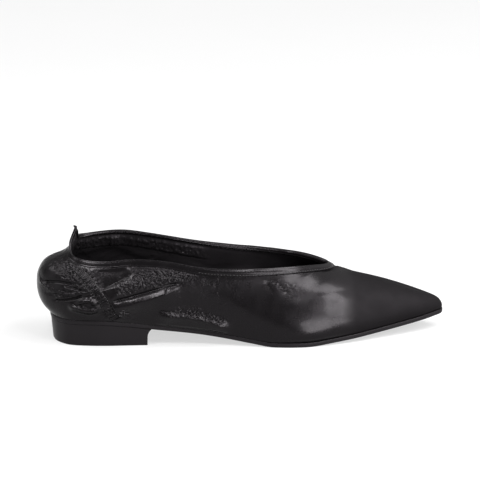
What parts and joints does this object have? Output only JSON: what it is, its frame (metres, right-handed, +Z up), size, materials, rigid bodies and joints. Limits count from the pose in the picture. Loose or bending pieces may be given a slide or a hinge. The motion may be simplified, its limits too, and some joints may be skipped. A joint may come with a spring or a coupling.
{
  "type": "flat shoe",
  "caption": "Pointed flat shoe for the right foot, hollow leather upper with bound topline and soft gathered back, thin sole, low block heel.",
  "frame": {"origin": "on the floor, at the centre of the heel block's flat bottom face", "axes": "+X towards the toe, +Y towards the inner (medial) side of the foot, +Z up"},
  "size_m": [0.2713, 0.075, 0.0741],
  "materials": {
    "outsole": "matte, fine grain",
    "heel": "smooth leather cover, semi-gloss",
    "insole": "matte lining leather",
    "upper": "smooth soft leather, semi-gloss",
    "collar_binding": "smooth leather, semi-gloss"
  },
  "bodies": {
    "root": {"outsole": "outsole", "heel": "heel", "insole": "insole", "upper": "upper", "collar_binding": "collar_binding"}
  },
  "joints": []
}
